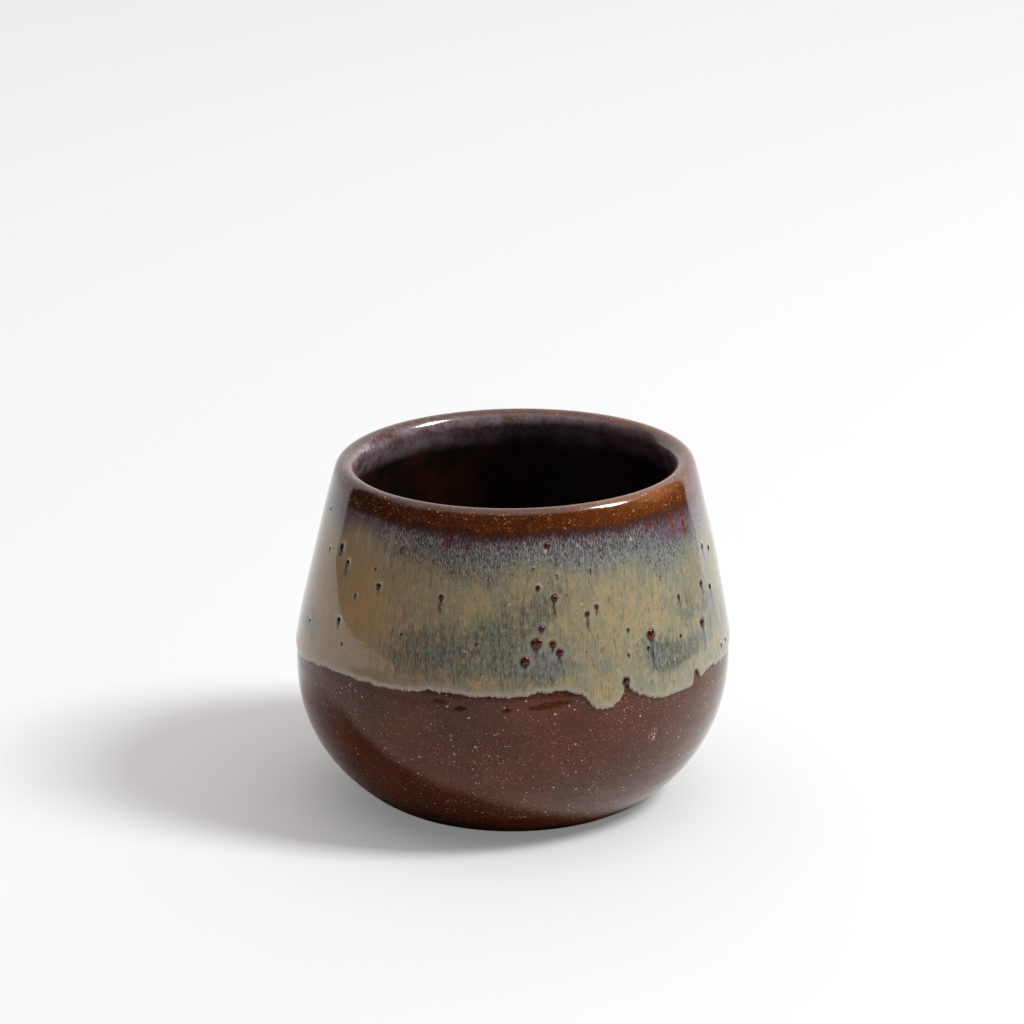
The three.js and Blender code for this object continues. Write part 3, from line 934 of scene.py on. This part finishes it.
def makeIronBeads(b):
    points, faces, redness, crown = [], [], [], []
    turn = around(b["sides"])
    rng = np.random.default_rng(b["seed"])
    stepRound, stepUp = 0.005, 0.2  # small steps that give the directions along the wall
    for at, up, size, _, red in ironSpots:
        fromCrest = downFromCrest(up)
        angle = math.radians(at)
        lift = cup["bond"] + float(coatThickness(np.array(angle), np.array(fromCrest)))
        first = len(points)
        middle = onCup(angle, fromCrest, lift)
        across = onCup(angle + stepRound, fromCrest, lift) - middle
        upward = onCup(angle, fromCrest + stepUp, lift) - middle
        across, upward = across / np.linalg.norm(across), upward / np.linalg.norm(upward)
        out = np.cross(across, upward)
        points.append(middle + out * size * b["rise"])
        twice, thrice = rng.uniform(0, 6.3, 2)
        wobble = 1 + b["uneven"] * (np.cos(2 * turn + twice) + 0.7 * np.cos(3 * turn + thrice))
        for ring in range(1, b["rings"] + 1):
            lean = ring / b["rings"] * math.pi / 2
            rise = math.cos(lean) * (size * b["rise"] + b["sunk"]) - b["sunk"]
            for t, wide in zip(turn, wobble):
                side = np.cos(t) * across + b["tall"] * np.sin(t) * upward
                points.append(middle + size * wide * math.sin(lean) * side + out * rise)
        points.append(middle - out * b["sunk"])
        last = len(points) - 1
        rings = [[first + 1 + r * b["sides"] + i for i in range(b["sides"])] for r in range(b["rings"])]
        for i in range(b["sides"]):
            j = (i + 1) % b["sides"]
            faces.append([first, rings[0][i], rings[0][j]])
            faces.append([last, rings[-1][j], rings[-1][i]])
            faces += [[low[i], low[j], high[j], high[i]] for low, high in zip(rings[1:], rings)]
        redness += [red] * (last - first + 1)
        crown += [1.0] + [1 - ring / b["rings"] for ring in range(b["rings"]) for _ in turn] + [0.0]
    return meshPiece("iron_beads", points, faces, {"redness": redness, "crown": crown})


def makeBeadGlass(b):
    material, tree, shader = newMaterial("iron_bead_glass", Roughness=0.1, IOR=1.4)
    cloud = cloudy(tree, size=0.42, shift=15.0)
    warm = times(mark(tree, "redness"), remap(cloud, 0.4, 0.6, 0.15, 1.0))
    warm = times(warm, remap(mark(tree, "crown"), 0.12, 0.6))
    color = blend(warm, b["dark"], b["red"])
    # painted glints: brighter orange patches that stand in for light caught inside the glassy bead
    color = blend(times(warm, remap(cloud, 0.56, 0.7)), color, b["glow"])
    feed(color, shader.inputs["Base Color"])
    roughen(shader, cloud, 0.05)
    return material


# amber rim and dark inside, which share the melt at the lip
inner = {
    "sides": 900,
    "rimRows": 46,
    "rimBackRows": 16,
    "linerSides": 300,
    "linerRows": 90,
    "linerBackRows": 30,
    "nearAxis": 0.6,  # where the liner's last ring closes on one point
    "brown": srgb(48, 19, 5),
    "black": srgb(14, 6, 4),
    "lilac": srgb(150, 132, 142),
    "wine": srgb(98, 70, 66),
    # bluish white where the milky band is thickest near the crest: partly the glaze's colour, partly a
    # painted reflection of the bright room behind
    "frostAndPaintedSheen": srgb(156, 152, 174),
    # angle, height, half width in degrees, half height, strength: where gold lies thick on the crest,
    # partly real gold and partly painted glints of the key light on the crest
    "sparklePatches": [(51, 68.9, 12, 1.0, 1.0), (30, 69.6, 10, 0.5, 0.5)],
    # and where the milky band under the lip is strong: a real colour, made stronger towards the back as
    # painted light on the wall under the lip, which gets little light there
    "milkAndPaintedLightPatches": [
        (245, 64, 40, 60, 0.75), (195, 64, 30, 60, 0.6), (160, 64, 24, 60, 0.5), (136, 64, 26, 60, 0.35),
        (112, 64, 14, 60, 0.5), (75, 64, 30, 60, 0.4), (251, 64, 9, 60, 0.5),
    ],
}


# a coat's free face and, the other way round, its face on the clay
def coatFaces(sides, start, end, rows, backRows):
    angle, fromCrest = np.meshgrid(around(sides), np.linspace(start, end, rows))
    radius, height = onOutline(fromCrest, cup["bond"] + coatThickness(angle, fromCrest))
    backAngle, backFrom = np.meshgrid(around(sides), np.linspace(end, start, backRows))
    back = onCup(backAngle, backFrom, cup["bond"])
    return angle, fromCrest, height, placeRound(radius, height, angle), backFrom, back


def makeRimGlaze(n):
    ends = (-cup["rimBandOutside"], cup["rimBandInside"])
    angle, fromCrest, height, free, _, back = coatFaces(n["sides"], *ends, n["rimRows"], n["rimBackRows"])
    marks = {
        "fromCrest": fromCrest,
        "reach": np.where(fromCrest < 0, meltReach(angle, running), 1.0),
        **patchMarks(angle, height, running, "west", "east", "warm"),
        **patchMarks(angle, height, n, "milkAndPaintedLight", "sparkle"),
    }
    return roundMesh("rim_glaze_coat", np.vstack([free, back]), marks)


def makeLinerGlaze(n):
    ends = (cup["rimBandInside"], floorEnd - n["nearAxis"])
    rows = (n["linerRows"], n["linerBackRows"])
    _, fromCrest, _, free, backFrom, back = coatFaces(n["linerSides"], *ends, *rows)
    depth = np.vstack([backFrom, fromCrest])
    marks = {"fromCrest": depth, "reach": np.ones_like(depth)}
    low = cup["floor"][1] + cup["bond"]
    poles = [(0.0, 0.0, low), (0.0, 0.0, low + cup["rimCoat"])]
    return roundMesh("liner_glaze_coat", np.vstack([back, free]), marks, False, poles)


def innerColor(tree, n):
    cloud = cloudy(tree, size=7.0, shift=60.0)
    runs = streaks(tree, width=1.6, length=14.0, shift=13.0)
    tone = calc("ADD", times(cloud, 0.8), times(runs, 0.2))
    return blend(remap(tone, 0.38, 0.62), n["black"], n["brown"])


def makeInsideGlaze(name, n, shine):
    material, tree, shader = newMaterial(name, IOR=shine)
    depth = mark(tree, "fromCrest")
    crest = times(remap(depth, -2.2, -0.6), 0.11)
    satin = calc("ADD", crest, remap(depth, 2.2, 7.0, 0.05, 0.31))
    feed(satin, shader.inputs["Roughness"])
    # on the inside the amber gives way sooner, and the dark follows at once
    sooner = calc("ADD", remap(depth, 0.3, 3.0, 0.0, 2.9), remap(depth, 2.6, 6.5, 0.0, 8.0))
    fromLip = calc("ABSOLUTE", depth)
    melt = use(
        tree, "rimMelt", down=calc("ADD", fromLip, sooner),
        hairs=remap(depth, 0.5, -0.5), body=innerColor(tree, n),
        **{kind: mark(tree, kind) for kind in ("reach", "west", "east", "warm", "sparkle")},
    )
    speckle = cloudy(tree, size=0.8, shift=33.0)
    patches = cloudy(tree, size=4.5, shift=81.0)
    mottle = swing(speckle, 0.6, patches)
    band = times(remap(depth, 0.8, 2.4), remap(depth, 8.6, 4.4))
    color = blend(times(band, 0.92), melt["Color"], n["wine"])
    # the milky band, partly painted light towards the back
    milkAndPaintedLight = times(remap(mottle, 0.25, 0.7), mark(tree, "milkAndPaintedLight"))
    color = blend(times(band, milkAndPaintedLight), color, n["lilac"])
    # partly milky glaze, partly a painted reflection near the crest
    frostAndPaintedSheen = times(remap(milkAndPaintedLight, 0.72, 1.0), remap(depth, 4.6, 2.6))
    color = blend(times(band, frostAndPaintedSheen), color, n["frostAndPaintedSheen"])
    feed(color, shader.inputs["Base Color"])
    skin = cloudy(tree, size=1.6, shift=40.0, detail=2.0)
    # gold dust makes the crest uneven
    dusty = times(remap(fromLip, 3.6, 1.2), speckle)
    roughen(shader, calc("MULTIPLY_ADD", dusty, 1.4, skin), 0.008)
    return material


# the view of the photograph: eye distance from the cup's middle, its height angle and the lens
view = {"distance": 800.0, "above": 19.78, "pitch": 18.2, "lens": 137.1, "middle": 35.0}


def makeCamera(v):
    camera = bpy.data.cameras.new("camera")
    camera.sensor_width, camera.lens = 36.0, v["lens"]
    camera.clip_start, camera.clip_end = 0.01, 20
    eye = bpy.data.objects.new("camera", camera)
    above = math.radians(v["above"])
    away, up = v["distance"] * math.cos(above), v["middle"] + v["distance"] * math.sin(above)
    eye.location = (0, -away * mm, up * mm)
    eye.rotation_euler = (math.radians(90 - v["pitch"]), 0, 0)
    bpy.context.collection.objects.link(eye)
    bpy.context.scene.camera = eye


# soft light from overhead and behind, one key from the right, and a pale table
studio = {
    "keyFrom": (-10.7, 49.1),  # degrees round from +X, degrees up
    "keyPower": 57.0,
    "keyAway": 2.5,
    "keySize": (0.55, 0.75),
    "keyColor": (0.95, 1.01, 1.01),
    "dome": 1.02,
    "domeColor": (1.03, 0.98, 0.975, 1.0),
    "slope": 0.35,  # how much brighter the right is than the left
    "dark": 0.045,
    "front": 0.35,  # how much higher the dark reaches at the front
    "overhead": (0.45, 0.85),  # a ray's rise where the light begins and where it is full
    "rear": (0.57, 0.62),
    "ground": [(-0.125, 0.025), (-0.15, -0.05)],  # the same on the left, and what the right adds
    "table": 0.92,
    "tableMirrored": 0.8,  # as the glazes show it
    "tableSeen": 0.61,  # as the camera sees it, with a glow that softens its shadow
    "tableGlow": 0.2,
    "tableSides": (-0.48, 0.22),  # as the glaze mirrors them
    "tableDeep": 1.3,
}


def makeKey(s):
    key = bpy.data.lights.new("key", "AREA")
    key.shape, key.energy, key.color = "RECTANGLE", s["keyPower"], s["keyColor"]
    key.size, key.size_y = s["keySize"]
    lamp = bpy.data.objects.new("key", key)
    turn, up = (math.radians(a) for a in s["keyFrom"])
    outward = Vector((math.cos(turn) * math.cos(up), math.sin(turn) * math.cos(up), math.sin(up)))
    lamp.location = outward * s["keyAway"]
    lamp.rotation_euler = lamp.location.to_track_quat("Z", "Y").to_euler()
    bpy.context.collection.objects.link(lamp)


def makeRoom(s):
    world = bpy.data.worlds.new("soft_room")
    bpy.context.scene.world = world
    world.use_nodes = True
    tree = world.node_tree
    x, y, z = split(node(tree, "ShaderNodeTexCoord").outputs["Generated"])
    behind = calc("MULTIPLY_ADD", x, -0.05, y)
    above = calc("MULTIPLY_ADD", calc("MINIMUM", y, 0.0), s["front"], z)
    lit = calc("MAXIMUM", remap(above, *s["overhead"]), remap(behind, *s["rear"]))
    level = remap(lit, 0.0, 1.0, s["dark"], s["dome"], "LINEAR")
    level = times(level, calc("MULTIPLY_ADD", x, s["slope"], 1.0))
    # past the table's edges the pale ground goes on, with a softer end on the right
    right = remap(x, 0.0, 0.4)
    start, full = (calc("MULTIPLY_ADD", right, more, rise) for rise, more in s["ground"])
    level = calc("MAXIMUM", level, remap(z, start, full, 0.0, 1.1))
    # the camera sees a plain white backdrop
    camera = node(tree, "ShaderNodeLightPath").outputs["Is Camera Ray"]
    background = tree.nodes["Background"].inputs
    feed(calc("MAXIMUM", level, camera), background["Strength"])
    feed(blend(camera, s["domeColor"], (1, 1, 1, 1)), background["Color"])


def makeTable(s):
    left, right = s["tableSides"]
    deep = s["tableDeep"]
    mesh = bpy.data.meshes.new("table")
    corners = [(left, -deep, 0), (right, -deep, 0), (right, deep, 0), (left, deep, 0)]
    mesh.from_pydata(corners, [], [[0, 1, 2, 3]])
    table = bpy.data.objects.new("table", mesh)
    bpy.context.collection.objects.link(table)
    matt = {"Roughness": 0.9, "Specular_IOR_Level": 0.0, "Emission_Strength": 1.0}
    material, tree, shader = newMaterial("table_paper", **matt)
    path = node(tree, "ShaderNodeLightPath").outputs
    mirrored = calc("MAXIMUM", path["Is Glossy Ray"], path["Is Transmission Ray"])
    greys = (s[kind] for kind in ("table", "tableMirrored", "tableSeen", "tableGlow"))
    paper, shown, seen, glow = ((grey, grey, grey, 1) for grey in greys)
    paper = blend(mirrored, paper, shown)
    feed(blend(path["Is Camera Ray"], paper, seen), shader.inputs["Base Color"])
    feed(blend(path["Is Camera Ray"], (0, 0, 0, 1), glow), shader.inputs["Emission Color"])
    material.cycles.emission_sampling = "NONE"  # the glow lights nothing
    mesh.materials.append(material)


makeCamera(view)
makeKey(studio)
makeRoom(studio)
makeTable(studio)
bpy.context.scene.view_settings.view_transform = "Standard"
print("camera and light set")

dress(makeClayBody(clay), makeBareClay(clay), "clay", "clay_body")
dress(makeOuterGlaze(running), makeRunningGlaze(running), "outer_glaze", "outer_glaze")
dress(makeIronBeads(beads), makeBeadGlass(beads), "outer_glaze")
dress(makeRimGlaze(inner), makeInsideGlaze("amber_rim", inner, 1.65), "rim_glaze", "rim_glaze")
dress(makeLinerGlaze(inner), makeInsideGlaze("dark_liner", inner, 1.5), "liner_glaze", "liner_glaze")
